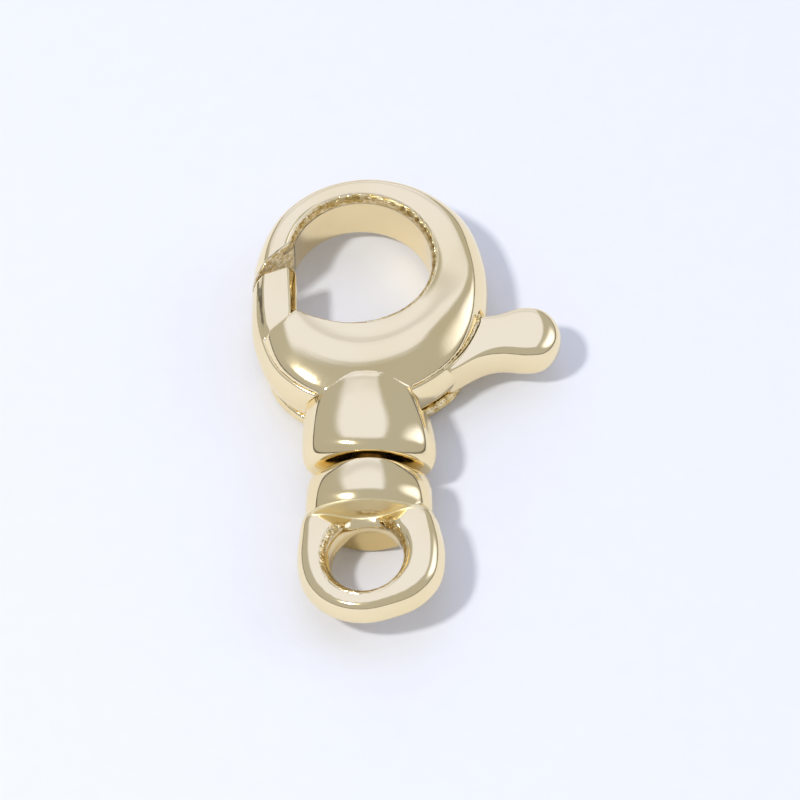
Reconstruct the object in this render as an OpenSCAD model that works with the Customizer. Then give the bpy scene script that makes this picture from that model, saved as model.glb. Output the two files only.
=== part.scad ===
// Lobster clasp with a swivel bail, lying on its back. Lengths in millimetres.
// The tab points to +X, the bail to -Y, and the clasp lies on the plane z = 0.

/* [Body] */
// Width of the round body at mid depth
body_w = 11.0; // [10.6:0.1:11.6]
// Length of the body: twice the way from its middle to its top
body_l = 13.0; // [12.6:0.1:13.6]
// Depth of the body at its thickest, and of the neck and the swivel block
body_t = 4.2; // [4:0.1:4.8]
// Most that the edge of the upper face stands in from the side wall
edge_inset = 0.78; // [0.5:0.02:0.9]

/* [Eye] */
// Diameter of the round eye
eye_d = 6.58; // [6:0.02:6.8]
// Centre of the eye across the body, from the body's middle
eye_x = -0.4; // [-0.6:0.05:-0.2]
// Centre of the eye along the body, from the body's middle
eye_y = 1.68; // [1.5:0.02:1.8]
// Height of the eye's straight wall
eye_wall = 2.7; // [2.5:0.05:3]
// Round of the eye's rim
rim_round = 0.35; // [0.2:0.05:0.45]
// Radius of the flatter lip at the eye's lower left
lip_r = 5.3; // [5.1:0.1:5.6]

/* [Slot] */
// Height of the slot between the two plates
slot_t = 2.42; // [2.3:0.02:2.6]
// Wall left between the eye and the slot
web_t = 0.85; // [0.6:0.05:0.9]
// Width of the slanted window that the gate closes
window_w = 2.72; // [2.5:0.02:2.9]
// Place of the ring's end face along the left side, where the slant meets x = 0
window_y = 6.05; // [5.9:0.05:6.2]

/* [Trigger] */
// Thickness of the trigger's arm and tab
trigger_t = 2.14; // [1.9:0.02:2.16]
// Depth of the gate that closes the ring
gate_t = 2.8; // [2.6:0.05:3]
// Least width of the wedge gap at the gate's tip
gate_gap = 0.12; // [0.1:0.01:0.16]
// Slope of the gate's tip face in degrees
tip_slope = 17; // [14:1:20]
// Width of the tab's round end
tab_w = 3.0; // [2.6:0.1:3.2]
// Reach of the tab from the body's middle
tab_reach = 8.9; // [8.5:0.1:9.4]
// How far the tab sits below the arm's faces
tab_sink = 0.09; // [0.05:0.01:0.1]
// Middle of the tab along the body
tab_y = -1.88; // [-1.95:0.01:-1.8]
// Radius of the round boss on the pivot
boss_r = 1.15; // [1:0.05:1.2]
// Way from the window's lower corner down to the arm's top
arm_fall = 2.7; // [2.6:0.05:2.8]
// Metal from the neck's lower end to the slot's floor at the left
slot_floor = 3.2; // [3.1:0.05:3.4]
// How much lower the slot's floor is at the right
floor_step = 0.6; // [0.5:0.05:0.7]

/* [Pivot] */
// Pivot across the body
pivot_x = -1.2; // [-1.3:0.05:-1.1]
// Pivot along the body
pivot_y = -3.8; // [-3.9:0.05:-3.7]
// Diameter of the pivot pin
pivot_d = 1.0; // [0.8:0.05:1.2]
// Metal left over each end of the pivot pin
pivot_cover = 0.3; // [0.2:0.05:0.4]

/* [Neck] */
// Widest part of the neck
neck_w = 6.26; // [6.1:0.02:6.5]
// Lower end of the neck along the body
neck_end = -8.9; // [-9.2:0.05:-8.8]
// Rise of the crowned faces of the neck and the swivel block
crown_t = 0.6; // [0.5:0.02:0.7]

/* [Swivel] */
// Dark gap between the neck and the swivel block
swivel_gap = 0.25; // [0.2:0.01:0.4]
// Width of the swivel block
block_w = 5.86; // [5.6:0.02:6.1]
// Length of the swivel block
block_l = 3.05; // [2.8:0.05:3.2]
// Diameter of the swivel pin's shaft
swivel_d = 1.8; // [1.5:0.05:1.9]
// Diameter of the swivel pin's head
head_d = 2.4; // [2.2:0.05:2.5]
// Thickness of the swivel pin's head
head_t = 0.7; // [0.5:0.05:0.8]
// Metal under the head, down to the neck's lower end
head_seat = 1.7; // [1.5:0.05:1.8]
// Depth of the shaft in the swivel block
shaft_in = 1.8; // [1.6:0.05:1.9]
// How far the block's upper face lies in from its end
face_in = 0.72; // [0.6:0.02:0.8]
// How far the block's foot lies in from its end
foot_in = 0.2; // [0.1:0.05:0.3]

/* [Bail] */
// Diameter of the bail's hole at its narrowest
loop_d = 3.4; // [3.1:0.05:3.6]
// Outer width of the bail's ring
loop_w = 6.78; // [6.5:0.02:7]
// Way from the middle of the hole to the ring's lower end
loop_reach = 3.02; // [2.8:0.02:3.3]
// Depth of the bail's ring
loop_t = 2.2; // [2:0.05:2.4]
// Height of the hole's straight wall
loop_land = 1.1; // [0.9:0.05:1.2]
// Bulge of the ring's outer side
loop_bulge = 0.22; // [0.2:0.02:0.4]
// Share by which the ring thins where it meets the block
loop_sink = 0.58; // [0.4:0.02:0.7]
// Width of the hole's rim at the faces
loop_rim = 4.2; // [4:0.05:4.4]
// Way from the swivel block's face to the middle of the hole
loop_drop = 1.5; // [1.45:0.01:1.6]
// How far the hole stands to the left of the swivel's line
loop_off = 0.07; // [0:0.01:0.1]
// Twist of the ring against its block in degrees, right side up
loop_twist = 8; // [0:1:10]

/* [Fits] */
// Radial clearance of the two turning fits
run_fit = 0.05; // [0.03:0.01:0.08]
// Radial clearance of the two fixed pins
fixed_fit = 0.01; // [0.01:0.005:0.02]
// Gap from the trigger to the walls beside it
side_gap = 0.15; // [0.12:0.01:0.18]
// Gap between the trigger's arm and the upper plate
top_gap = 0.08; // [0.06:0.01:0.1]

/* [Hidden] */
$fn = 64;
gold = [0.88, 0.81, 0.62];
far = 20;

eye_r = eye_d / 2;
eye = [eye_x, eye_y];
pivot = [pivot_x, pivot_y];
half_t = body_t / 2;
slot_top = slot_t / 2;
web_r = eye_r + web_t;
v_y = window_y - window_w * sqrt(2);
floor_y = neck_end + slot_floor;
seat_y = neck_end + head_seat;
// Left end of the web between the eye and the slot
web_end = pivot_x + 0.65;
// Top edge of the slot at the right, and of the lever in it
right_top = tab_y + 0.9;
lever_top = right_top - 2 * side_gap;
// The plates' corner at the eye, and the gate's tip
lip_x = -3.38;
tip = [-3.73, 1.3];
// Width and fall of the step where the arm leaves the gate
arm_step = [0.2, 0.65];
arm_top = v_y - arm_fall;
// Where the lip would meet the eye's circle, and where its cut stops, in degrees
lip_turn = 290;
lip_stop = 282;
// Bulge of the rounded sides of the neck and the block
block_bulge = 0.8 * edge_inset;
// Round of the tab's edges
tab_soft = 0.3;
block_y = neck_end - swivel_gap;
block_end = block_y - block_l;
loop_y = block_end - loop_drop;
x_mid = (tab_reach - body_w / 2) / 2;
y_mid = (body_l / 2 + loop_y - loop_reach) / 2;

// The body's outline at mid depth. Columns: share of half the width, share of half
// the length, share of edge_inset, and the heights of the edge, the crest and the
// eye's rim as shares of half the depth
BODY = [
  [ 1.000,  0.000, 0.90, 0.72, 0.92, 0.78],
  [ 0.971,  0.340, 1.00, 0.72, 0.86, 0.78],
  [ 0.805,  0.682, 0.77, 0.71, 0.81, 0.78],
  [ 0.447,  0.915, 0.58, 0.70, 0.79, 0.78],
  [ 0.000,  1.000, 0.52, 0.70, 0.79, 0.78],
  [-0.445,  0.911, 0.52, 0.70, 0.80, 0.78],
  [-0.793,  0.671, 0.58, 0.71, 0.82, 0.78],
  [-0.965,  0.338, 0.62, 0.72, 0.84, 0.78],
  [-1.000,  0.000, 0.70, 0.76, 0.90, 0.78],
  [-0.978, -0.343, 1.00, 0.82, 1.00, 0.80],
  [-0.807, -0.683, 0.74, 0.80, 1.00, 0.82],
  [-0.440, -0.898, 0.48, 0.76, 1.00, 0.80],
  [ 0.000, -0.938, 0.42, 0.74, 1.00, 0.78],
  [ 0.404, -0.825, 0.52, 0.74, 1.00, 0.78],
  [ 0.731, -0.618, 0.68, 0.76, 1.00, 0.78],
  [ 0.927, -0.325, 0.78, 0.74, 0.97, 0.78]
];
body_steps = 64;

// The ring of the bail around its hole. Columns: share of half the ring's width, share
// of loop_reach, and the share of the side's bulge
LOOP = [
  [ 1.053,  0.000, 1.0],
  [ 1.000,  0.430, 1.0],
  [ 0.860,  0.800, 1.0],
  [ 0.420,  0.980, 1.0],
  [ 0.000,  1.000, 1.0],
  [-0.420,  0.980, 1.0],
  [-0.840,  0.800, 1.0],
  [-0.930,  0.420, 1.0],
  [-0.950,  0.000, 1.0],
  [-0.870, -0.410, 1.0],
  [-0.650, -0.735, 1.0],
  [-0.342, -0.935, 1.0],
  [ 0.000, -1.000, 1.0],
  [ 0.342, -0.935, 1.0],
  [ 0.700, -0.785, 1.0],
  [ 0.980, -0.450, 1.0]
];
loop_steps = 48;

// The neck from the body to its lower end. Columns: share of the way, shares of half
// the width to the left and to the right, share of half the depth, share of the crown
neck_start = pivot_y - 0.6;
NECK = [
  [0.00, 0.88, 0.76, 0.93, 1.28],
  [0.16, 0.93, 0.83, 0.96, 1.20],
  [0.40, 0.98, 0.90, 1.00, 1.08],
  [0.62, 1.00, 0.98, 1.00, 1.00],
  [0.80, 1.00, 1.00, 0.99, 1.00],
  [0.91, 0.97, 0.97, 0.95, 1.20],
  [0.97, 0.92, 0.92, 0.88, 1.52],
  [1.00, 0.86, 0.86, 0.80, 1.76]
];

// The swivel block from the gap to its lower face, with the neck's columns
BLOCK = [
  [0.00, 0.88, 0.88, 0.90, 1.92],
  [0.05, 0.93, 0.93, 0.94, 1.76],
  [0.20, 0.98, 0.98, 0.98, 1.36],
  [0.45, 1.00, 1.00, 1.00, 1.04],
  [0.57, 1.00, 1.00, 0.99, 1.04],
  [0.66, 1.00, 1.00, 0.96, 1.08],
  [0.76, 0.99, 0.99, 0.90, 1.16],
  [0.87, 0.97, 0.97, 0.82, 1.32],
  [1.00, 0.92, 0.92, 0.74, 1.48]
];

// The tab's upper and lower edge. Columns: share of the tab's length from the body's
// side to the tip, share of half the tab's width from its middle line
TAB_UPPER = [[-0.62, 0.48], [-0.30, 0.49], [-0.02, 0.52], [0.18, 0.70], [0.34, 0.89], [0.46, 0.97]];
TAB_LOWER = [[0.46, -0.97], [0.34, -0.92], [0.18, -0.89], [-0.02, -0.96], [-0.20, -1.14], [-0.38, -1.38], [-0.62, -1.74]];

// A smooth curve through four neighbours a, b, c, d, from b at u = 0 to c at u = 1
function smooth(a, b, c, d, u) =
  0.5 * (2 * b + (c - a) * u + (2 * a - 5 * b + 4 * c - d) * u * u + (3 * b - a - 3 * c + d) * u * u * u);

// A row of a closed table at place t, counted in rows
function closed_row(table, t) =
  let (n = len(table), i = floor(t))
  smooth(table[(i + n - 1) % n], table[i % n], table[(i + 1) % n], table[(i + 2) % n], t - i);

// A smooth open curve through a list of points, with four steps to each
function open_curve(points) =
  let (n = len(points))
  [for (i = [0 : n - 2]) for (u = [0, 0.25, 0.5, 0.75])
    smooth(points[max(i - 1, 0)], points[i], points[i + 1], points[min(i + 2, n - 1)], u),
   points[n - 1]];

// The height of the upper face at share s of the way from the rim to the edge
function dome(rim, crest, edge, s) =
  crest + (rim - crest) * pow(max(0, 1 - 2 * s), 2) + (edge - crest) * pow(max(0, (s - 0.4) / 0.6), 2.6);

// One cut through a ring from its hole outward, as [way from the hole's middle, height].
// z holds the heights of the hole's wall, the rim, the crest and the edge
function ring_cut(hole_r, rim_w, z, reach, inset) =
  let (edge_r = reach - inset, rim_r = hole_r + rim_w, rise = 0.65 * (z[1] - z[0]),
       up = concat(
         [[hole_r - 0.35 * rim_w, z[0] - rise], [hole_r + 0.35 * rim_w, z[0] + rise]],
         [for (s = [0, 0.2, 0.4, 0.6, 0.75, 0.88]) [rim_r + (edge_r - rim_r) * s, dome(z[1], z[2], z[3], s)]],
         [[edge_r, z[3]], [reach - 0.45 * inset, 0.7 * z[3]], [reach - 0.12 * inset, 0.35 * z[3]], [reach, 0]]),
       n = len(up))
  concat([[hole_r - 0.35 * rim_w, 0]], up, [for (i = [n - 2 : -1 : 0]) [up[i][0], -up[i][1]]]);

// A cut set upright at an outline point, facing away from the hole's middle
function stand(cut, side, middle) =
  let (way = (side - middle) / norm(side - middle))
  [for (p = cut) [middle[0] + way[0] * p[0], middle[1] + way[1] * p[0], p[1]]];

// A skin over closed rings of points. The last ring joins the first where it is a loop
module skin(rings, loop = false) {
  n = len(rings);
  m = len(rings[0]);
  sides = [for (i = [0 : n - (loop ? 1 : 2)]) for (j = [0 : m - 1])
    let (a = i * m, b = ((i + 1) % n) * m, k = (j + 1) % m)
    each [[a + j, b + k, a + k], [a + j, b + j, b + k]]];
  caps = loop ? [] : [[for (j = [0 : m - 1]) j], [for (j = [m - 1 : -1 : 0]) (n - 1) * m + j]];
  polyhedron([for (ring = rings) each ring], concat(sides, caps), convexity = 6);
}

// The domed ring that the body and the gate share
module ring_form() {
  skin([for (k = [0 : body_steps - 1])
    let (row = closed_row(BODY, k * len(BODY) / body_steps), side = [body_w / 2 * row[0], body_l / 2 * row[1]],
         z = [eye_wall / 2, half_t * row[5], half_t * row[4], half_t * row[3]])
    stand(ring_cut(eye_r, rim_round, z, norm(side - eye), edge_inset * row[2]), side, eye)], true);
}

// The bail's ring around its hole, rounded off to its outer side. It thins to a saddle
// where it meets the block
function saddle(up) = let (u = min(1, max(0, (up - 0.74) / 0.23))) 1 - loop_sink * u * u * (3 - 2 * u);

module loop_form() {
  z = loop_t / 2 * [loop_land / loop_t, 0.96, 1, 0.5];
  skin([for (k = [0 : loop_steps - 1])
    let (row = closed_row(LOOP, k * len(LOOP) / loop_steps), side = [loop_w / 2 * row[0], loop_reach * row[1]])
    stand(ring_cut(loop_d / 2, (loop_rim - loop_d) / 2, z * saddle(side[1] / norm(side)), norm(side), loop_bulge * row[2]),
          side, [0, 0])], true);
}

// A block with a crowned face and bulged sides, lofted downward from y0 to y1. Its
// lower half keeps at least the foot's share of the depth
module block_form(table, width, y0, y1, foot = 0) {
  skin([for (row = table)
    let (left = width / 2 * row[1], right = width / 2 * row[2], h = half_t * row[3], crown = crown_t * row[4],
         edge = h - crown, y = y0 + (y1 - y0) * row[0], under = max(1, foot / row[3]))
    concat(
      [for (v = [-1, -0.7, -0.35, 0, 0.35, 0.7, 1]) [right - block_bulge * v * v, y, edge * v * (v < 0 ? under : 1)]],
      [for (s = [0.17, 0.33, 0.5, 0.67, 0.83])
        [right - block_bulge + (2 * block_bulge - left - right) * s, y, edge + crown * 4 * s * (1 - s)]],
      [for (v = [1, 0.7, 0.35, 0, -0.35, -0.7, -1]) [block_bulge * v * v - left, y, edge * v * (v < 0 ? under : 1)]],
      [for (s = [0.83, 0.67, 0.5, 0.33, 0.17])
        [right - block_bulge + (2 * block_bulge - left - right) * s, y, -under * (edge + crown * 4 * s * (1 - s))]])]);
}

// A prism over a flat shape, between two heights
module slab(low, high) {
  translate([0, 0, low]) linear_extrude(high - low) children();
}

// A round bar along Y between two places
module bar_y(d, y0, y1) {
  translate([0, y0, 0]) rotate([90, 0, 0]) cylinder(h = y0 - y1, d = d);
}

// The slanted band between the ring's end face and the plates' V edge
module window_band(gap) {
  polygon([[-far, window_y - gap - far], [0, window_y - gap], [0, v_y + gap], [-far, v_y + gap - far]]);
}

// Where the slot runs between the plates, seen from above
module slot_plan() {
  step_x = neck_w * 0.27;
  corner_x = -neck_w * 0.455;
  difference() {
    polygon([[-far, right_top], [far, right_top], [far, floor_y - floor_step], [step_x, floor_y - floor_step],
             [step_x, floor_y - 0.1], [corner_x, floor_y + 0.1], [corner_x, floor_y], [-far, floor_y]]);
    intersection() {
      translate(eye) circle(r = web_r);
      translate([web_end, -far]) square(2 * far);
    }
  }
}

// The flatter lip at the eye's lower left
module lip_plan() {
  intersection() {
    translate(eye + (eye_r - lip_r) * [cos(lip_turn), sin(lip_turn)]) circle(r = lip_r);
    translate([lip_x, -far]) square([eye_x + eye_r * cos(lip_stop) - lip_x, far]);
  }
}

// The gate seen from above: its sloped tip, its inner wall and the V edge at its foot
module gate_plan() {
  intersection() {
    window_band(gate_gap);
    polygon([[-far, tip[1] - (tip[0] + far) * tan(tip_slope)], tip, [lip_x, lip_x + v_y + 2 * gate_gap],
             [lip_x, -far], [-far, -far]]);
  }
}

// The arm from the gate to the pivot, and the lever from the pivot to the tab
module arm_plan() {
  left_x = -neck_w / 2 * 0.94 - side_gap / 2;
  right_x = neck_w / 2 * 0.78;
  foot_y = floor_y + 0.05 + side_gap;
  difference() {
    union() {
      translate(pivot) circle(r = boss_r);
      polygon([[-far, arm_top], [lip_x - arm_step[0], arm_top], [lip_x, arm_top - arm_step[1]],
               pivot + boss_r * [0.35, 0.94], pivot - boss_r * [0, 1], [left_x + 0.4, foot_y + 0.06],
               [left_x, foot_y], [left_x, -far], [-far, -far]]);
      polygon([pivot + boss_r * [0.2, 0.98], [body_w * 0.3, lever_top], [far, lever_top], [far, -far],
               [right_x, -far], [right_x, pivot_y - boss_r + side_gap + 0.05], pivot - boss_r * [0, 1]]);
    }
    translate(eye) circle(r = web_r + side_gap);
  }
}

// Everything beyond the swivel block's lower face, which slopes above the bail's ring
// and stands back a little below it
module beyond_block() {
  face_y = block_end + face_in;
  foot_y = block_end + foot_in;
  rotate([90, 0, 90]) linear_extrude(far, center = true)
    polygon([[face_y, far], [face_y, 0.88 * half_t], [face_y - 0.11 * face_in, 0.55 * half_t],
             [face_y - 0.08 * face_in, 0.1 * half_t], [(face_y + foot_y) / 2, -0.3 * half_t],
             [foot_y, -0.9 * half_t], [foot_y, -far], [-2 * far, -far], [-2 * far, far]]);
}

// The tab's outline seen from above, drawn in by an inset all round
function tab_outline(inset) =
  let (length = tab_reach - body_w / 2, half = tab_w / 2 - inset, end_x = tab_reach - tab_w / 2)
  concat(
    [for (p = open_curve(TAB_UPPER)) [body_w / 2 + length * p[0], tab_y + half * p[1]]],
    [for (a = [75 : -15 : -75]) [end_x + half * cos(a), tab_y + half * sin(a)]],
    [for (p = open_curve(TAB_LOWER)) [body_w / 2 + length * p[0], tab_y + half * p[1]]]);

// The tab from inside the slot to its round end, with soft edges
module tab_form(low, high) {
  skin([for (p = [[1, 0.8], [0.88, 0.22], [0.65, 0.05], [0.5, 0], [0.35, 0.05], [0.12, 0.22], [0, 0.8]])
    [for (q = tab_outline(tab_soft * p[1])) [q[0], q[1], low + (high - low) * p[0]]]]);
}

// Places a shape at the bail's hole, turned with the ring's twist
module loop_frame() {
  translate([-loop_off, loop_y, 0]) rotate([0, -loop_twist, 0]) children();
}

module placed() {
  translate([-x_mid, -y_mid, half_t]) children();
}

module clasp_body() color(gold) placed() {
  difference() {
    union() {
      ring_form();
      block_form(NECK, neck_w, neck_start, neck_end);
    }
    slab(-far, far) translate(eye) circle(r = eye_r);
    slab(-far, far) lip_plan();
    slab(-far, far) intersection() {
      window_band(0);
      translate([-far, -far]) square([far + lip_x + 0.5, 2 * far]);
    }
    slab(-slot_top, slot_top) slot_plan();
    translate(pivot) cylinder(h = body_t - 2 * pivot_cover + 0.1, r = pivot_d / 2 + fixed_fit, center = true);
    bar_y(head_d + 4 * run_fit, floor_y, seat_y);
    bar_y(swivel_d + 2 * run_fit, seat_y + head_t / 2, neck_end - swivel_gap);
  }
}

module trigger() color(gold) placed() {
  trigger_top = slot_top - top_gap;
  difference() {
    union() {
      intersection() {
        ring_form();
        union() {
          slab(trigger_top - trigger_t, trigger_top) arm_plan();
          slab(-gate_t / 2, gate_t / 2) gate_plan();
        }
      }
      tab_form(trigger_top - trigger_t - tab_sink, trigger_top - tab_sink);
    }
    slab(-far, far) translate(pivot) circle(r = pivot_d / 2 + run_fit);
  }
}

module pivot_pin() color(gold) placed() {
  translate(pivot) cylinder(h = body_t - 2 * pivot_cover, d = pivot_d, center = true);
}

module bail() color(gold) placed() {
  difference() {
    union() {
      difference() {
        block_form(BLOCK, block_w, block_y, block_end, 0.97);
        beyond_block();
      }
      loop_frame() loop_form();
    }
    loop_frame() cylinder(h = far, d = loop_d, center = true);
    bar_y(swivel_d + 2 * fixed_fit, neck_end, block_y - shaft_in - run_fit);
  }
}

module swivel_pin() color(gold) placed() {
  bar_y(head_d, seat_y + run_fit + head_t, seat_y + run_fit);
  bar_y(swivel_d, seat_y + run_fit + head_t / 2, block_y - shaft_in);
}

clasp_body();
trigger();
pivot_pin();
bail();
swivel_pin();
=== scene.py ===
import math

import bmesh
import bpy
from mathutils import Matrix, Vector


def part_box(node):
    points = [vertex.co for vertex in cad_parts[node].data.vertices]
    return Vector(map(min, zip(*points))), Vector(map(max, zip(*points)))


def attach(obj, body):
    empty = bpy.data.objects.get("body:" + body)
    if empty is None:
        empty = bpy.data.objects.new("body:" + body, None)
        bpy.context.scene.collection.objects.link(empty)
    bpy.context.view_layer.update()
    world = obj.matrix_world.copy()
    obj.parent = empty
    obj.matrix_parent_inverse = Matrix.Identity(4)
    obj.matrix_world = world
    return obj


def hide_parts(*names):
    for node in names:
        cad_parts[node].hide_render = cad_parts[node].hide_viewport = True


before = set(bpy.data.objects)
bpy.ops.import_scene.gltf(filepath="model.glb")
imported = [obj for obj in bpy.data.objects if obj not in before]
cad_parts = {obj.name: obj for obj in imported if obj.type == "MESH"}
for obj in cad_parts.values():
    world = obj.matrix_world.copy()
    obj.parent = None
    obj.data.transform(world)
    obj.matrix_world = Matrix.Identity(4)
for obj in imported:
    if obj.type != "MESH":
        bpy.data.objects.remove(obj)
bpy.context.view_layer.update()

# The photographer's view: a long lens looks down at the clasp from its bail's side.
# Way and angle were measured on the photograph, from the eye's two rims.
view_target = (-0.000304, 0.000005, 0.0021)
view_way = 0.260
view_rise = math.radians(59)
bpy.ops.object.camera_add(
    location=(
        view_target[0],
        view_target[1] - view_way * math.cos(view_rise),
        view_target[2] + view_way * math.sin(view_rise),
    ),
    rotation=(math.radians(90) - view_rise, 0, 0),
)
camera = bpy.context.object
camera.name = "photo_camera"
camera.data.lens = 253.9
camera.data.sensor_width = 36
camera.data.clip_start = 0.01
camera.data.clip_end = 20
bpy.context.scene.camera = camera
bpy.context.scene.view_settings.view_transform = "Standard"

# The table: one pale sheet of paper, a touch blue, that runs far past the picture.
# Its faint tooth keeps the shadows from looking printed.


def noise(tree, scale, detail, stretch=(1, 1, 1)):
    """Noise in the piece's own place, drawn out one way where it is stretched."""
    where = tree.nodes.new("ShaderNodeTexCoord")
    turn = tree.nodes.new("ShaderNodeMapping")
    turn.inputs["Scale"].default_value = stretch
    node = tree.nodes.new("ShaderNodeTexNoise")
    node.inputs["Scale"].default_value = scale
    node.inputs["Detail"].default_value = detail
    tree.links.new(where.outputs["Object"], turn.inputs["Vector"])
    tree.links.new(turn.outputs["Vector"], node.inputs["Vector"])
    return node.outputs["Fac"]


def mix_colours(tree, mask, first, second):
    """The first colour, and the second one where the mask is 1."""
    node = tree.nodes.new("ShaderNodeMix")
    node.data_type = "RGBA"
    tree.links.new(mask, node.inputs[0])
    for socket, colour in ((node.inputs[6], first), (node.inputs[7], second)):
        if isinstance(colour, tuple):
            socket.default_value = colour
        else:
            tree.links.new(colour, socket)
    return node.outputs[2]


bpy.ops.object.select_all(action="DESELECT")
bpy.ops.mesh.primitive_plane_add(size=4, location=(0, 0, 0))
paper = bpy.context.object
paper.name = "paper_sheet"
bpy.ops.object.mode_set(mode="EDIT")
bpy.ops.mesh.subdivide(number_cuts=3)
bpy.ops.object.mode_set(mode="OBJECT")
paper_white = bpy.data.materials.new("paper_white")
paper_white.use_nodes = True
tree = paper_white.node_tree
shader = tree.nodes["Principled BSDF"]
shader.inputs["Roughness"].default_value = 0.75
shader.inputs["Specular IOR Level"].default_value = 0.2
dull_white = (0.865, 0.880, 0.930, 1)
clear_white = (0.890, 0.905, 0.950, 1)
tooth = mix_colours(tree, noise(tree, 900, 2), dull_white, clear_white)
tree.links.new(tooth, shader.inputs["Base Color"])
paper.data.materials.append(paper_white)

# The studio: a grey room with a wide white screen over and behind the clasp, a duller
# fold across the screen, a glow at its right and a dark line along the floor. One small
# key light at the upper left casts the shadows.


def maths(tree, operation, first, second=0):
    """One Math node over two sockets or numbers."""
    node = tree.nodes.new("ShaderNodeMath")
    node.operation = operation
    for slot, value in enumerate((first, second)):
        if isinstance(value, (int, float)):
            node.inputs[slot].default_value = value
        else:
            tree.links.new(value, node.inputs[slot])
    return node.outputs[0]


def ramp(tree, value, low, high):
    """0 to 1, softly, as a value goes from low to high."""
    node = tree.nodes.new("ShaderNodeMapRange")
    node.interpolation_type = "SMOOTHSTEP"
    tree.links.new(value, node.inputs["Value"])
    node.inputs["From Min"].default_value = min(low, high)
    node.inputs["From Max"].default_value = max(low, high)
    node.inputs["To Min"].default_value = 0 if low < high else 1
    node.inputs["To Max"].default_value = 1 if low < high else 0
    return node.outputs["Result"]


def strip(tree, value, start, end):
    """A strip with soft edges. Each edge is given from outside in."""
    return maths(tree, "MULTIPLY", ramp(tree, value, *start), ramp(tree, value, *end))


world = bpy.data.worlds.new("grey_room")
bpy.context.scene.world = world
world.use_nodes = True
tree = world.node_tree
towards = tree.nodes.new("ShaderNodeTexCoord").outputs["Generated"]
direction = tree.nodes.new("ShaderNodeSeparateXYZ")
tree.links.new(towards, direction.inputs[0])
across, along, up = direction.outputs
glow_way = tree.nodes.new("ShaderNodeVectorMath")
glow_way.operation = "DOT_PRODUCT"
glow_way.inputs[1].default_value = (0.810, 0.220, 0.544)
tree.links.new(towards, glow_way.inputs[0])

screen = strip(tree, across, (-0.52, -0.40), (0.33, 0.22))
screen = maths(tree, "MULTIPLY", screen, ramp(tree, along, 0.02, 0.20))
fold = maths(tree, "MULTIPLY", screen, strip(tree, along, (0.60, 0.72), (0.88, 0.74)))
glow = ramp(tree, glow_way.outputs["Value"], 0.89, 0.996)
above_floor = ramp(tree, up, 0.03, 0.15)
wall_grey = (0.50, 0.51, 0.53, 1)
screen_white = (0.89, 0.96, 1.27, 1)
fold_white = (0.73, 0.78, 1.00, 1)
glow_white = (1.5, 1.6, 2.0, 1)
floor_line = (0.09, 0.085, 0.08, 1)
walls = mix_colours(tree, screen, wall_grey, screen_white)
walls = mix_colours(tree, fold, walls, fold_white)
walls = mix_colours(tree, glow, walls, glow_white)
walls = mix_colours(tree, above_floor, floor_line, walls)
room = tree.nodes["Background"]
tree.links.new(walls, room.inputs["Color"])
room.inputs["Strength"].default_value = 1.0

key_towards = (-0.45, -0.22, 0.865)
key_way = 0.45
key_size = 0.045
key_length = math.sqrt(sum(c * c for c in key_towards))
bpy.ops.object.light_add(type="AREA", location=[key_way * c / key_length for c in key_towards])
key_light = bpy.context.object
key_light.name = "key_light"
key_light.data.shape = "RECTANGLE"
key_light.data.size = key_size
key_light.data.size_y = key_size
key_light.data.energy = 0.92
key_light.data.color = (1.0, 0.99, 0.97)
key_light.rotation_euler = (-key_light.location).to_track_quat("-Z", "Y").to_euler()

# The clasp's body: one casting of pale gold-coloured metal, an egg-shaped ring with
# domed faces and a square-shouldered neck, sawn open for the gate and slotted. It is
# shaped in millimetres about the body's middle.
body_half = (5.5, 6.5)
body_depth = 2.1
body_inset = 0.78
eye_middle = (-0.4, 1.68)
eye_radius = 3.29
eye_wall = 1.35
rim_round = 0.28
ring_columns = 64
# Shares round the outline: across, along, inset, edge height, crest height, rim height
body_outline = [
    (1.000, 0.000, 0.90, 0.84, 0.89, 0.78),
    (0.971, 0.340, 1.00, 0.80, 0.84, 0.78),
    (0.805, 0.682, 0.77, 0.71, 0.81, 0.78),
    (0.447, 0.915, 0.58, 0.70, 0.79, 0.78),
    (0.000, 1.000, 0.52, 0.70, 0.79, 0.78),
    (-0.445, 0.911, 0.52, 0.72, 0.80, 0.79),
    (-0.793, 0.671, 0.58, 0.77, 0.82, 0.81),
    (-0.965, 0.338, 0.62, 0.79, 0.84, 0.82),
    (-1.000, 0.000, 0.70, 0.76, 0.90, 0.78),
    (-0.978, -0.343, 1.00, 0.80, 1.00, 0.80),
    (-0.807, -0.683, 0.80, 0.75, 1.00, 0.82),
    (-0.440, -0.898, 0.56, 0.70, 1.00, 0.80),
    (0.000, -0.938, 0.50, 0.68, 1.00, 0.78),
    (0.404, -0.825, 0.60, 0.68, 1.00, 0.78),
    (0.731, -0.618, 0.76, 0.70, 1.00, 0.78),
    (0.927, -0.325, 0.80, 0.78, 0.96, 0.78),
]


def between(rows, place):
    """A smooth closed curve through the rows of a table."""
    count, first = len(rows), math.floor(place)
    u = place - first
    near = (rows[(first + k) % count] for k in (-1, 0, 1, 2))
    values = []
    for p, q, r, s in zip(*near):
        square = 2 * p - 5 * q + 4 * r - s
        cube = 3 * q - p - 3 * r + s
        values.append(0.5 * (2 * q + (r - p) * u + square * u**2 + cube * u**3))
    return values


def ease(value, low, high):
    """0 to 1, softly, as a number goes from low to high."""
    share = min(1, max(0, (value - low) / (high - low)))
    return share**2 * (3 - 2 * share)


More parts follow.
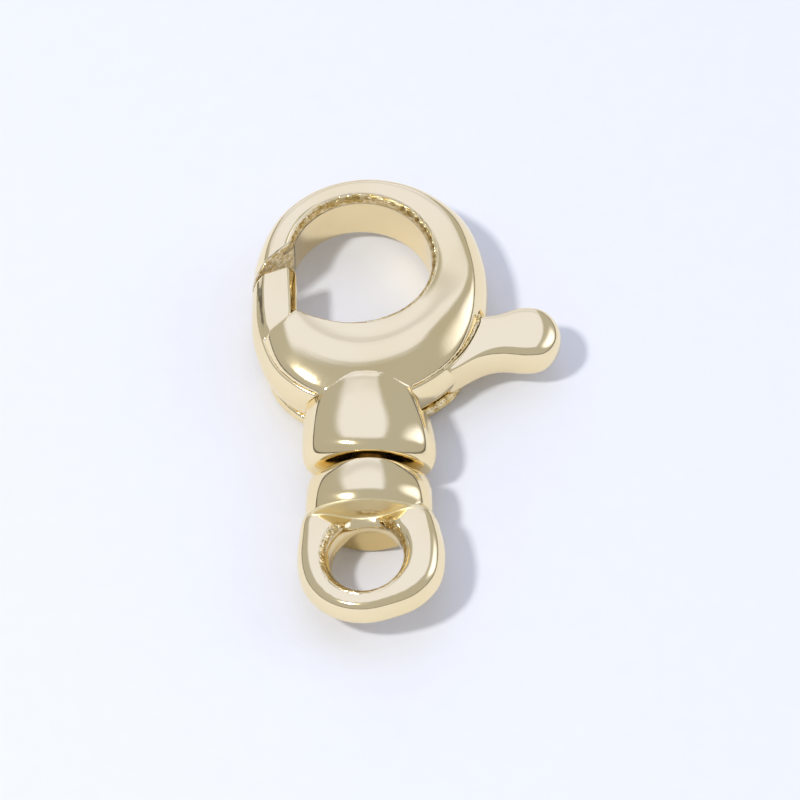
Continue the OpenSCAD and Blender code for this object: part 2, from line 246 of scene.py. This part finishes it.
def draw_out(name, rings, capped=True):
    """A loop of vertices drawn out ring by ring, each ring moved to its places."""
    bpy.ops.object.select_all(action="DESELECT")
    bpy.ops.mesh.primitive_circle_add(vertices=len(rings[0]), radius=1)
    piece = bpy.context.object
    piece.name = name
    bpy.ops.object.mode_set(mode="EDIT")
    bpy.ops.mesh.select_all(action="SELECT")
    column = {k: k for k in range(len(rings[0]))}
    for number, ring in enumerate(rings):
        if number:
            bpy.ops.mesh.extrude_region_move()
        mesh = bmesh.from_edit_mesh(piece.data)
        mesh.verts.ensure_lookup_table()
        if number:
            drawn = {}
            for vertex in mesh.verts:
                if vertex.select:
                    for edge in vertex.link_edges:
                        other = edge.other_vert(vertex).index
                        if other in column:
                            drawn[vertex.index] = column[other]
            column = drawn
        for index, k in column.items():
            mesh.verts[index].co = ring[k]
        bmesh.update_edit_mesh(piece.data)
        if capped and number == 0:
            bpy.ops.mesh.edge_face_add()
    bpy.ops.mesh.select_all(action="SELECT")
    bpy.ops.mesh.normals_make_consistent(inside=False)
    bpy.ops.object.mode_set(mode="OBJECT")
    return piece


def finish_with(piece, kind, **settings):
    """Adds a modifier and applies it."""
    bpy.ops.object.select_all(action="DESELECT")
    bpy.context.view_layer.objects.active = piece
    piece.select_set(True)
    bpy.ops.object.modifier_add(type=kind)
    modifier = piece.modifiers[-1]
    for setting, value in settings.items():
        setattr(modifier, setting, value)
    bpy.ops.object.modifier_apply(modifier=modifier.name)


def combine(piece, tool, operation):
    """Joins, cuts or intersects two closed shapes, and uses the second one up."""
    finish_with(piece, "BOOLEAN", operation=operation, object=tool, solver="EXACT")
    bpy.data.objects.remove(tool, do_unlink=True)


def mirrored_ring(name, columns):
    """A ring out of its upper half's columns, which run from the bore to the side."""
    rings = [[column[k] for column in columns] for k in range(len(columns[0]))]
    ring = draw_out(name, rings, capped=False)
    finish_with(ring, "MIRROR", use_axis=(False, False, True), merge_threshold=0.001)
    return ring


def from_eye(row):
    """Where a row of the body's outline lies, from the eye's middle."""
    return (body_half[0] * row[0] - eye_middle[0], body_half[1] * row[1] - eye_middle[1])


def domed_ring(name, hole):
    """The egg-shaped ring that the body and the gate share."""
    face_steps = (0.0, 0.08, 0.2, 0.35, 0.5, 0.62, 0.74, 0.84, 0.93, 1.0)
    side_steps = ((0.45, 0.7), (0.25, 0.52), (0.12, 0.35), (0.03, 0.17), (0, 0))
    columns = []
    for k in range(ring_columns):
        row = between(body_outline, k * len(body_outline) / ring_columns)
        side = from_eye(row)
        reach = math.hypot(*side)
        way = (side[0] / reach, side[1] / reach)
        inset = body_inset * row[2]
        edge_z, crest_z, rim_z = (body_depth * share for share in row[3:])
        rim, edge = hole + rim_round, reach - inset
        cut = [(hole, 0), (hole, 0.6), (hole, 1.1), (hole, eye_wall)]
        cut.append((hole + 0.28 * rim_round, eye_wall + 0.68 * (rim_z - eye_wall)))
        # The crowned face falls away sooner beside the neck
        fall_start = 0.35 + 0.32 * ease(way[1], -0.72, -0.32)
        for s in face_steps:
            fall = (rim_z - crest_z) * max(0, 1 - s / 0.5) ** 2
            fall += (edge_z - crest_z) * max(0, (s - fall_start) / (1 - fall_start)) ** 2
            cut.append((rim + (edge - rim) * s, crest_z + fall))
        cut.append((edge + 0.22 * inset, 0.9 * edge_z))
        cut += [(reach - inset_share * inset, share * edge_z) for inset_share, share in side_steps]
        columns.append([(eye_middle[0] + way[0] * r, eye_middle[1] + way[1] * r, z) for r, z in cut])
    ring = mirrored_ring(name, columns)
    finish_with(ring, "SUBSURF", levels=1, render_levels=1)
    return ring


def prism(name, corners, low, high):
    """An upright block over an outline."""
    return draw_out(name, [[(x, y, z) for x, y in corners] for z in (low, high)])


def crowned_block(name, rows, half_width, start, end, foot=0):
    """A block with crowned faces and rounded sides, drawn out along the clasp.

    Each row has a place along it, the left and right widths, the depth and the crown,
    all as shares. The underside goes down at least as far as the foot's share.
    """
    bulge = 0.62
    crown_top = 0.6
    depth_steps = (-1, -0.7, -0.35, 0, 0.35, 0.7, 1)
    face_steps = (0.08, 0.2, 0.35, 0.5, 0.65, 0.8, 0.92)
    rings = []
    for share, left, right, depth, crown_share in rows:
        y = start + (end - start) * share
        left, right = half_width * left, half_width * right
        crown = crown_top * crown_share
        edge = body_depth * depth - crown
        inner = right - bulge
        width = left + right - 2 * bulge
        face = [(inner - width * s, edge + crown * 4 * s * (1 - s)) for s in face_steps]
        ring = [(right - bulge * v * v, y, edge * v) for v in depth_steps]
        ring += [(x, y, z) for x, z in face]
        ring += [(bulge * v * v - left, y, edge * v) for v in reversed(depth_steps)]
        ring += [(x, y, -z) for x, z in reversed(face)]
        under = max(1, foot / depth)
        rings.append([(x, y, z * under if z < 0 else z) for x, y, z in ring])
    block = draw_out(name, rings)
    finish_with(block, "SUBSURF", levels=2, render_levels=2)
    return block


def arc(middle, radius, start, end, steps):
    """Points along an arc, angles in degrees."""
    turns = [math.radians(start + (end - start) * k / steps) for k in range(steps + 1)]
    return [(middle[0] + radius * math.cos(t), middle[1] + radius * math.sin(t)) for t in turns]


def disc(name, middle, radius, half_height):
    """An upright cylinder with 48 sides."""
    return prism(name, arc(middle, radius, 0, 352.5, 47), -half_height, half_height)


pin_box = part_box("pivot_pin")
pivot = (-1.2, -3.8)
mm = 0.001
home = [
    (pin_box[0][0] + pin_box[1][0]) / 2 - pivot[0] * mm,
    (pin_box[0][1] + pin_box[1][1]) / 2 - pivot[1] * mm,
    (pin_box[0][2] + pin_box[1][2]) / 2,
]
voxel = 0.055


def polish(piece, smooth_steps, keep):
    """Rounds every edge a little, as a tumbler does, and thins the mesh."""
    finish_with(piece, "REMESH", mode="VOXEL", voxel_size=voxel)
    finish_with(piece, "SMOOTH", factor=0.5, iterations=smooth_steps)
    finish_with(piece, "DECIMATE", ratio=keep)


def put_in_place(piece):
    """From millimetres about the body's middle to metres in the clasp's own frame."""
    bpy.ops.object.select_all(action="DESELECT")
    bpy.context.view_layer.objects.active = piece
    piece.select_set(True)
    piece.scale = (mm, mm, mm)
    piece.location = home
    bpy.ops.object.transform_apply(location=True, rotation=True, scale=True)
    bpy.ops.object.shade_smooth()


body = domed_ring("clasp_casting", eye_radius)

# The plate under the slot belongs to the same casting. Levels: height and inset
plate_levels = ((-1.15, 0.2), (-1.24, 0.12), (-1.4, 0.04), (-1.6, 0.02), (-1.85, 0.12), (-2.02, 0.42))
plate_outline = []
for k in range(25):
    end_taper = 0.55 * max(0, 1 - k / 9, (k - 20) / 4) ** 1.5
    plate_outline.append((from_eye(between(body_outline, 9 + k / 4)), end_taper))
plate_rings = []
for z, inset in plate_levels:
    ring = []
    for side, end_taper in plate_outline:
        share = 1 - (inset + end_taper) / math.hypot(*side)
        ring.append((eye_middle[0] + side[0] * share, eye_middle[1] + side[1] * share, z))
    plate_rings.append(ring)
combine(body, draw_out("lower_plate", plate_rings), "UNION")

neck_half = 3.13
neck_start = -4.4
neck_end = -8.9
neck_rows = [
    (0.00, 0.88, 0.76, 0.93, 1.50),
    (0.16, 0.93, 0.83, 0.96, 1.40),
    (0.40, 0.98, 0.90, 1.00, 1.15),
    (0.62, 1.00, 0.98, 1.00, 1.00),
    (0.80, 1.00, 1.00, 0.99, 1.00),
    (0.91, 0.97, 0.97, 0.95, 1.20),
    (0.97, 0.92, 0.92, 0.88, 1.52),
    (1.00, 0.86, 0.86, 0.80, 1.76),
]
combine(body, crowned_block("neck", neck_rows, neck_half, neck_start, neck_end), "UNION")

# The window that the gate fills lies between two lines at 45 degrees
far = 12
window_top = 6.05
window_foot = 2.2
window_side = -2.9
window_levels = ((-3.0, 0.42), (-2.1, 0.30), (-1.72, 0), (1.72, 0), (2.1, 0.30), (3.0, 0.42))
window_rings = []
for z, soft in window_levels:
    foot = window_foot - soft
    window_rings.append([
        (-far, window_top - far, z),
        (window_side, window_top + window_side, z),
        (window_side, foot + window_side, z),
        (-far, foot - far, z),
    ])
combine(body, draw_out("window", window_rings), "DIFFERENCE")

# The eye's lower rim is flatter than its circle, and flares toward both faces
lip_radius = 5.3
lip_flare = 0.2
lip_turns = (243.5, 288)
lip_top = 0.4
lip_meets = math.radians(290)
lip_off = eye_radius - lip_radius
lip_middle = (
    eye_middle[0] + lip_off * math.cos(lip_meets),
    eye_middle[1] + lip_off * math.sin(lip_meets),
)
lip_levels = (
    (-3.0, lip_flare),
    (-eye_wall - 0.25, lip_flare),
    (-eye_wall, 0),
    (eye_wall, 0),
    (eye_wall + 0.25, lip_flare),
    (3.0, lip_flare),
)
lip = arc(lip_middle, lip_radius, *lip_turns, 24)
lip_back = [(lip[-1][0], lip_top), (lip[0][0], lip_top)]
lip_rings = []
for z, flare in lip_levels:
    outline = arc(lip_middle, lip_radius + flare, *lip_turns, 24) + lip_back
    lip_rings.append([(x, y, z) for x, y in outline])
combine(body, draw_out("lip", lip_rings), "DIFFERENCE")

# The slot for the trigger, with a web left standing round the eye
slot_half = 1.21
slot_outline = [
    (-far, -0.98),
    (far, -0.98),
    (far, -6.3),
    (1.2, -6.3),
    (1.0, -5.8),
    (-2.3, -5.62),
    (-2.85, -5.60),
    (-2.85, -5.7),
    (-far, -5.7),
]
web_wall = 0.85
web_outline = arc(eye_middle, eye_radius + web_wall, 267.9, 360, 24) + [(-0.55, eye_middle[1])]
slot = prism("slot", slot_outline, -slot_half, slot_half)
combine(slot, prism("web", web_outline, -2, 2), "DIFFERENCE")
combine(body, slot, "DIFFERENCE")
polish(body, smooth_steps=4, keep=0.5)
put_in_place(body)
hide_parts("clasp_body")
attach(body, "clasp")

# The trigger: gate, arm, lever and thumb tab in one casting. The gate and the arm
# follow the ring's own outside, and the tab swells to a round paddle.
slant = 0.12
trigger_top = 1.13
trigger_foot = -1.12
gate_top = 1.4
gate_overhang = 0.4
tip = (-3.73, 1.3)
tip_slope = math.tan(math.radians(17))
lip_x = -3.38
boss = 1.15
pin_room = 0.55
# Levels: height, how far the gate swells into the eye, how far its outside draws in
gate_levels = [
    (-gate_top, 0.30, -0.9),
    (0.55, 0.34, -0.9),
    (1.02, 0.29, -0.9),
    (1.08, 0.24, -0.9),
    (1.09, 0.23, 0),
    (gate_top - 0.03, -0.06, 0.29),
    (gate_top, -0.11, 0.34),
]
gate = domed_ring("trigger_casting", eye_radius - gate_overhang)
gate_rings = []
for z, swell, bevel in gate_levels:
    foot_x = lip_x + 0.8 * (swell - 0.31)
    outside = []
    for place in (9.2, 8.8, 8.4, 8.1, 7.9, 7.4):
        row = between(body_outline, place)
        x = body_half[0] * row[0] + 0.45 * body_inset * row[2] + bevel
        outside.append((x, body_half[1] * row[1], z))
    last_x = outside[0][0]
    outside[0] = (last_x, last_x + window_foot + slant, z)
    tip_x = outside[-1][0]
    outside[-1] = (tip_x, tip[1] - (tip[0] - tip_x) * tip_slope, z)
    inside = [
        (tip[0] + swell, tip[1] - swell * tip_slope, z),
        (foot_x, lip_x + window_foot + 2 * slant, z),
        (foot_x, foot_x + window_foot + slant, z),
    ]
    gate_rings.append(inside + outside)
gate_block = draw_out("gate_block", gate_rings)
# The gate ends just short of the window's upper line, which is the ring's sawn face
top_line = window_top - slant
top_slant = prism("top_slant", [(-far, top_line - far), (0, top_line), (0, far), (-far, far)], -4, 4)
combine(gate_block, top_slant, "DIFFERENCE")
# The arm and the lever meet at the boss, in the slot
beside_neck = -0.94 * neck_half - 0.075
arm_outline = [
    (-far, window_foot - 2.7),
    (lip_x - 0.2, window_foot - 2.7),
    (lip_x, window_foot - 3.35),
    (pivot[0] + 0.35 * boss, pivot[1] + 0.94 * boss),
    (pivot[0] + 0.2 * boss, pivot[1] - 0.98 * boss),
    (pivot[0], pivot[1] - boss),
    (-2.4, neck_end + 3.33),
    (-2.87, neck_end + 3.34),
    (-2.87, neck_end + 3.24),
    (beside_neck, neck_end + 3.22),
    (beside_neck, -far),
    (-far, -far),
]
lever_outline = [
    (pivot[0] + 0.2 * boss, pivot[1] + 0.98 * boss),
    (3.3, -1.06),
    (far, -1.06),
    (far, -far),
    (2.44, -far),
    (2.44, -5.30),
    (1.6, -5.28),
    (1.6, -4.95),
    (pivot[0], pivot[1] - boss),
]
boss_outline = arc(pivot, boss, 0, 352.5, 47)
eye_room = arc(eye_middle, eye_radius + 1.0, 0, 355, 71)
arm_block = prism("arm_block", arm_outline, trigger_foot, trigger_top)
lever_block = prism("lever_block", lever_outline, trigger_foot, trigger_top)
boss_block = prism("boss_block", boss_outline, trigger_foot, trigger_top)
combine(arm_block, lever_block, "UNION")
combine(arm_block, boss_block, "UNION")
combine(arm_block, prism("eye_room", eye_room, -2, 2), "DIFFERENCE")
combine(gate_block, arm_block, "UNION")
combine(gate, gate_block, "INTERSECT")

# The thumb tab goes on from the lever outside the ring
tab_middle = -1.88
tab_half = 1.5
tab_reach = 8.9
tab_length = tab_reach - body_half[0]
tab_top = trigger_top - 0.09
tab_foot = trigger_foot + 0.08
# Shares along and across the tab, from the ring to its round end and back
upper_edge = [(-0.62, 0.50), (-0.30, 0.51), (-0.02, 0.53), (0.18, 0.70), (0.34, 0.89), (0.46, 0.97)]
lower_edge = [
    (0.46, -0.97),
    (0.34, -0.92),
    (0.18, -0.89),
    (0.02, -0.95),
    (-0.13, -1.07),
    (-0.30, -1.26),
    (-0.46, -1.46),
    (-0.62, -1.66),
]
round_middle = (tab_reach - tab_half, tab_middle)
round_end = arc(round_middle, tab_half, 70, -70, 8)
# Shares of the height, each with how far the outline is drawn in there
tab_levels = [
    (0, 0.40),
    (0.03, 0.22),
    (0.12, 0.08),
    (0.3, 0),
    (0.62, 0),
    (0.80, 0.06),
    (0.92, 0.18),
    (0.985, 0.36),
    (1, 0.52),
]


def tab_edge(edge, drawn_in):
    """One long edge of the tab, drawn in less and less toward the ring."""
    points = []
    for x, y in edge:
        y *= 1 - drawn_in * min(1, max(0, (x + 0.38) / 0.5))
        points.append((body_half[0] + tab_length * x, tab_middle + tab_half * y))
    return points


def tab_outline(inset):
    """The paddle seen from above, drawn in all round."""
    drawn_in = inset / tab_half
    points = tab_edge(upper_edge, drawn_in)
    for x, y in round_end:
        x = round_middle[0] + (x - round_middle[0]) * (1 - 2.2 * drawn_in)
        points.append((x, tab_middle + (y - tab_middle) * (1 - drawn_in)))
    return points + tab_edge(lower_edge, drawn_in)


tab_rings = []
for share, inset in tab_levels:
    z = tab_foot + (tab_top - tab_foot) * share
    tab_rings.append([(x, y, z) for x, y in tab_outline(inset)])
tab = draw_out("tab", tab_rings)
finish_with(tab, "SUBSURF", levels=2, render_levels=2)
combine(gate, tab, "UNION")
combine(gate, disc("pin_hole", pivot, pin_room, 3), "DIFFERENCE")
polish(gate, smooth_steps=3, keep=0.6)
put_in_place(gate)
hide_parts("trigger")
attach(gate, "trigger")

# The bail: a short block that turns under the neck and carries a thick ring with a
# round hole for the chain, cast together. The ring leans a little to the right.
block_half = 2.93
block_foot = 0.97
block_gap = 0.25
block_length = 3.05
block_start = neck_end - block_gap
block_end = block_start - block_length
block_rows = [
    (0.00, 0.88, 0.88, 0.90, 1.92),
    (0.05, 0.93, 0.93, 0.94, 1.76),
    (0.20, 0.98, 0.98, 0.98, 1.36),
    (0.45, 1.00, 1.00, 1.00, 1.04),
    (0.57, 1.00, 1.00, 0.99, 1.04),
    (0.66, 1.00, 1.00, 0.96, 1.08),
    (0.76, 0.99, 0.99, 0.90, 1.16),
    (0.87, 0.97, 0.97, 0.82, 1.32),
    (1.00, 0.92, 0.92, 0.74, 1.48),
]
bail = crowned_block("bail_casting", block_rows, block_half, block_start, block_end, block_foot)
# The block's hollow face toward the ring: how far in, and the height as a share
face_profile = [
    (0.72, 0.88),
    (0.64, 0.55),
    (0.66, 0.10),
    (0.40, -0.30),
    (0.20, -0.90),
]
beyond_block = [(block_end + 0.72, 4.0)]
beyond_block += [(block_end + y, body_depth * share) for y, share in face_profile]
beyond_block += [(block_end + 0.20, -4.0), (block_end - 2, -4.0), (block_end - 2, 4.0)]
beyond_rings = [[(x, y, z) for y, z in beyond_block] for x in (-5, 5)]
combine(bail, draw_out("beyond_block", beyond_rings), "DIFFERENCE")

# Shares round the ring's outline: across and along
loop_outline = [
    (1.053, 0.000), (1.000, 0.430), (0.860, 0.800), (0.420, 0.980),
    (0.000, 1.000), (-0.420, 0.980), (-0.840, 0.800), (-0.930, 0.420),
    (-0.955, 0.000), (-0.870, -0.410), (-0.650, -0.735), (-0.342, -0.935),
    (0.000, -1.000), (0.342, -0.935), (0.700, -0.785), (0.980, -0.450),
]
loop_columns = 48
loop_middle = (-0.07, block_end - 1.5)
loop_half = (3.39, 3.05)
loop_hole = 1.7
loop_rim = 2.18
loop_face = 1.05
loop_bulge = 0.10
loop_sink = 0.58
loop_under = 0.7
loop_twist = math.radians(8)
loop_bore = ((0, 0), (0, 0.25), (0, 0.45), (0.10, 0.68), (0.25, 0.88), (0.42, 1.03))
columns = []
reaches = {}
face_steps = (0.0, 0.35, 0.7, 1.0)
round_turns = (15, 30, 45, 60, 75, 86)
side_steps = (0.8, 0.5, 0.25, 0)
for k in range(loop_columns):
    row = between(loop_outline, k * len(loop_outline) / loop_columns)
    side = (loop_half[0] * row[0], loop_half[1] * row[1])
    reach = math.hypot(*side)
    way = (side[0] / reach, side[1] / reach)
    reaches[round(math.atan2(way[1], way[0]), 2)] = reach
    soft = 0.38 + 0.24 * way[0] ** 2
    flat = reach - loop_bulge - soft
    cut = [(loop_hole + r, z) for r, z in loop_bore]
    cut += [(loop_rim + (flat - loop_rim) * s, loop_face) for s in face_steps]
    for turn in round_turns:
        lean = math.radians(turn)
        cut.append((flat + soft * math.sin(lean), loop_face - soft * (1 - math.cos(lean))))
    cut += [(reach - loop_bulge * v * v, (loop_face - soft) * v) for v in side_steps]
    # The ring sinks into a saddle where it meets the block
    sink = 1 - loop_sink * ease(way[1], 0.74, 0.97)
    columns.append([(way[0] * r, way[1] * r, z * sink) for r, z in cut])
loop = mirrored_ring("loop", columns)
# Its lower edge is tucked in to a rounder one
for vertex in loop.data.vertices:
    x, y, z = vertex.co
    if z < 0:
        tuck = loop_under - math.sqrt(max(0, loop_under**2 - z * z))
        limit = reaches[round(math.atan2(y, x), 2)] - tuck
        share = min(1, limit / math.hypot(x, y))
        vertex.co = (x * share, y * share, z)
finish_with(loop, "SUBSURF", levels=1, render_levels=1)
hole = disc("hole", (0, 0), loop_hole, 6)
for shape in (loop, hole):
    shape.rotation_euler = (0, -loop_twist, 0)
    shape.location = (loop_middle[0], loop_middle[1], 0)
combine(bail, loop, "UNION")
combine(bail, hole, "DIFFERENCE")
polish(bail, smooth_steps=3, keep=0.6)
put_in_place(bail)
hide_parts("bail")
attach(bail, "swivel")

# The metal: thin gold-coloured plate over the castings, tumbled bright, with faint
# hairlines. Some patches are grainy and some satin, and the darker brown and gold of
# most of them is painted shade.
FLOAT, VECTOR, COLOUR = "NodeSocketFloat", "NodeSocketVector", "NodeSocketColor"


def new_group(name, takes, gives):
    """An empty shader node group with named sockets."""
    group = bpy.data.node_groups.new(name, "ShaderNodeTree")
    for socket, kind in takes.items():
        group.interface.new_socket(name=socket, in_out="INPUT", socket_type=kind)
    for socket, kind in gives.items():
        group.interface.new_socket(name=socket, in_out="OUTPUT", socket_type=kind)
    start, end = group.nodes.new("NodeGroupInput"), group.nodes.new("NodeGroupOutput")
    return group, start.outputs, end.inputs


tumbled, takes, gives = new_group(
    "tumbled_polish",
    {"Plate": COLOUR, "Deep Plate": COLOUR, "Polish": FLOAT},
    {"Colour": COLOUR, "Roughness": FLOAT, "Height": FLOAT},
)
deep = maths(tumbled, "MULTIPLY", ramp(tumbled, noise(tumbled, 210, 2), 0.42, 0.72), 0.5)
shade = mix_colours(tumbled, deep, takes["Plate"], takes["Deep Plate"])
hairlines = ramp(tumbled, noise(tumbled, 2600, 3, (1, 9, 1)), 0.60, 0.78)
cloud = ramp(tumbled, noise(tumbled, 700, 3), 0.35, 0.75)
scratched = maths(tumbled, "MULTIPLY", hairlines, 0.03)
clouded = maths(tumbled, "MULTIPLY", cloud, 0.035)
rough = maths(tumbled, "ADD", takes["Polish"], maths(tumbled, "ADD", scratched, clouded))
fine_ripple = maths(tumbled, "MULTIPLY", noise(tumbled, 1500, 2), 0.06)
ripple = maths(tumbled, "ADD", noise(tumbled, 330, 2), fine_ripple)
height = maths(tumbled, "SUBTRACT", ripple, maths(tumbled, "MULTIPLY", hairlines, 0.012))
tumbled.links.new(shade, gives["Colour"])
tumbled.links.new(rough, gives["Roughness"])
tumbled.links.new(height, gives["Height"])

# A patch over the smooth plate: grain, satin and its own colour, which is mostly painted shade
cast, takes, gives = new_group(
    "cast_skin_and_shade",
    {
        "Mask": FLOAT,
        "Smooth Height": FLOAT,
        "Smooth Roughness": FLOAT,
        "Smooth Colour": COLOUR,
        "Patch Colour": COLOUR,
        "Grain": FLOAT,
        "Satin": FLOAT,
    },
    {"Height": FLOAT, "Roughness": FLOAT, "Colour": COLOUR},
)
grain = noise(cast, 3600, 3)
lumps = maths(cast, "MULTIPLY", maths(cast, "MULTIPLY", grain, takes["Grain"]), takes["Mask"])
satin = maths(cast, "MULTIPLY", takes["Mask"], takes["Satin"])
# A patch without grain is coloured evenly
evenly = maths(cast, "SUBTRACT", 1, takes["Grain"])
speckled = maths(cast, "MAXIMUM", ramp(cast, grain, 0.62, 0.38), evenly)
patch_share = maths(cast, "MULTIPLY", speckled, takes["Mask"])
shade = mix_colours(cast, patch_share, takes["Smooth Colour"], takes["Patch Colour"])
cast.links.new(maths(cast, "ADD", takes["Smooth Height"], lumps), gives["Height"])
cast.links.new(maths(cast, "ADD", takes["Smooth Roughness"], satin), gives["Roughness"])
cast.links.new(shade, gives["Colour"])

rim, takes, gives = new_group(
    "rim_band",
    {"Middle": VECTOR, "Radius": FLOAT, "Width": FLOAT},
    {"Mask": FLOAT},
)
where = rim.nodes.new("ShaderNodeTexCoord")
shift = rim.nodes.new("ShaderNodeVectorMath")
shift.operation = "SUBTRACT"
flat = rim.nodes.new("ShaderNodeVectorMath")
flat.operation = "MULTIPLY"
flat.inputs[1].default_value = (1, 1, 0)
reach = rim.nodes.new("ShaderNodeVectorMath")
reach.operation = "LENGTH"
level = rim.nodes.new("ShaderNodeSeparateXYZ")
rim.links.new(where.outputs["Object"], shift.inputs[0])
rim.links.new(takes["Middle"], shift.inputs[1])
rim.links.new(shift.outputs[0], flat.inputs[0])
rim.links.new(shift.outputs[0], level.inputs[0])
rim.links.new(flat.outputs[0], reach.inputs[0])
out = maths(rim, "SUBTRACT", reach.outputs["Value"], takes["Radius"])
up = level.outputs["Z"]
off = maths(rim, "ADD", maths(rim, "MULTIPLY", out, out), maths(rim, "MULTIPLY", up, up))
off = maths(rim, "DIVIDE", maths(rim, "SQRT", off), takes["Width"])
rim.links.new(ramp(rim, off, 1, 0.6), gives["Mask"])

plate_gold = (0.95, 0.80, 0.50, 1)
deep_gold = (0.90, 0.72, 0.38, 1)
# Painted shade: a brown and a darker gold for the grainy rims and the gaps
brown_shade_gold = (0.66, 0.48, 0.18, 1)
dark_shade_gold = (0.62, 0.45, 0.17, 1)
even_gold = (0.95, 0.83, 0.53, 1)
shaded_gold = (0.74, 0.57, 0.27, 1)
# Painted shade: the pins sit in dark gaps, so they are coloured a dark brown
pin_shade_brown = (0.22, 0.16, 0.09, 1)
deep_shade_brown = (0.12, 0.08, 0.04, 1)


def gold_finish(name, roughness, patches=(), plate=plate_gold, deep_plate=deep_gold):
    """Gold plate over the casting, with patches of their own grain, satin and colour; most of these
    colours are painted shade.
    """
    gold = bpy.data.materials.new(name)
    gold.use_nodes = True
    tree = gold.node_tree
    shader = tree.nodes["Principled BSDF"]
    shader.inputs["Metallic"].default_value = 1
    surface = tree.nodes.new("ShaderNodeGroup")
    surface.node_tree = tumbled
    surface.inputs["Plate"].default_value = plate
    surface.inputs["Deep Plate"].default_value = deep_plate
    surface.inputs["Polish"].default_value = roughness
    for mask, grain, satin, colour in patches:
        skin = tree.nodes.new("ShaderNodeGroup")
        skin.node_tree = cast
        tree.links.new(mask(tree), skin.inputs["Mask"])
        for output in ("Height", "Roughness", "Colour"):
            tree.links.new(surface.outputs[output], skin.inputs["Smooth " + output])
        skin.inputs["Patch Colour"].default_value = colour
        skin.inputs["Grain"].default_value = grain
        skin.inputs["Satin"].default_value = satin
        surface = skin
    bump = tree.nodes.new("ShaderNodeBump")
    bump.inputs["Strength"].default_value = 1
    bump.inputs["Distance"].default_value = 0.00002
    tree.links.new(surface.outputs["Height"], bump.inputs["Height"])
    tree.links.new(bump.outputs["Normal"], shader.inputs["Normal"])
    tree.links.new(surface.outputs["Roughness"], shader.inputs["Roughness"])
    tree.links.new(surface.outputs["Colour"], shader.inputs["Base Color"])
    return gold


def band(middle, radius, width):
    """A mask round a rim: a ring of the given radius, as thick as twice the width."""

    def mask(tree):
        node = tree.nodes.new("ShaderNodeGroup")
        node.node_tree = rim
        node.inputs["Middle"].default_value = [home[k] + middle[k] * mm for k in range(3)]
        node.inputs["Radius"].default_value = radius * mm
        node.inputs["Width"].default_value = width * mm
        return node.outputs["Mask"]

    return mask


def place_of(tree):
    """The x, y and z of a point of the surface, in metres."""
    where = tree.nodes.new("ShaderNodeTexCoord")
    part = tree.nodes.new("ShaderNodeSeparateXYZ")
    tree.links.new(where.outputs["Object"], part.inputs[0])
    return part.outputs


def sawn_face(tree):
    """The ring's end face in the gate's window."""
    x, y, _ = place_of(tree)
    line = maths(tree, "SUBTRACT", maths(tree, "SUBTRACT", y, x), home[1] - home[0] + window_top * mm)
    face = ramp(tree, maths(tree, "ABSOLUTE", line), 0.22 * mm, 0.08 * mm)
    return maths(tree, "MULTIPLY", face, ramp(tree, x, home[0] - 2.4 * mm, home[0] - 2.9 * mm))


def lower_side(tree):
    """The side of the plate under the lever and the arm."""
    x, y, z = place_of(tree)
    low = ramp(tree, z, 1.05 * mm, 0.85 * mm)
    right = ramp(tree, x, home[0] - 0.5 * mm, home[0] + mm)
    near = ramp(tree, y, home[1] - 3.0 * mm, home[1] - 3.8 * mm)
    return maths(tree, "MULTIPLY", maths(tree, "MULTIPLY", low, right), near)


def lever_root_shade(tree):
    """The lever's upper side where it comes out of the slot, painted darker amber as shade and
    gold-on-gold reflection.
    """
    line = band((0, 0, trigger_top - 0.05), 5.14, 0.24)(tree)
    return maths(tree, "MULTIPLY", line, ramp(tree, place_of(tree)[0], home[0], home[0] + mm))


def block_face(tree):
    """The bail block's face behind its ring."""
    _, y, z = place_of(tree)
    off = maths(tree, "ABSOLUTE", maths(tree, "SUBTRACT", y, home[1] + (block_end + 0.66) * mm))
    face = ramp(tree, off, 0.13 * mm, 0.09 * mm)
    return maths(tree, "MULTIPLY", face, ramp(tree, z, home[2] + 0.2 * mm, home[2] + 0.5 * mm))


# Each patch has its mask, how lumpy and how satin it is, and its colour
bright = 0.085
body_patches = [
    # The brown of these grainy patches is painted shade: among the lumps of the eye's rim, on the
    # sawn face in the gate's gap and on the plate's side under the lever
    (band((*eye_middle, 1.40), 3.35, 0.34), 9, 0.08, brown_shade_gold),
    (sawn_face, 6, 0.12, brown_shade_gold),
    (lower_side, 6, 0.10, brown_shade_gold),
]
# Painted shade and gold-on-gold reflection: darker amber on the lever's root by the tab
trigger_patches = [(lever_root_shade, 7, 0.08, brown_shade_gold)]
bail_patches = [
    # Painted shade: the bail's hole in a deeper gold, a little satin
    (band((*loop_middle, -1.0), loop_hole, 1.25), 0, 0.16, shaded_gold),
    (block_face, 0, 0.42, even_gold),
    # Painted shade: the grainy rim of the bail's hole in a dark gold
    (band((*loop_middle, 0.82), 1.90, 0.40), 7, 0.05, dark_shade_gold),
]
body_gold = gold_finish("body_gold", bright, body_patches)
trigger_gold = gold_finish("trigger_gold", bright, trigger_patches)
bail_gold = gold_finish("bail_gold", bright, bail_patches)
# The pins' dark brown is painted shade
pin_in_shade = gold_finish("pin_in_shade", 0.30, plate=pin_shade_brown, deep_plate=deep_shade_brown)
for casting, finish in ((body, body_gold), (gate, trigger_gold), (bail, bail_gold)):
    casting.data.materials.clear()
    casting.data.materials.append(finish)
for name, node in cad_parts.items():
    node.data.materials.clear()
    node.data.materials.append(pin_in_shade if name.endswith("pin") else body_gold)
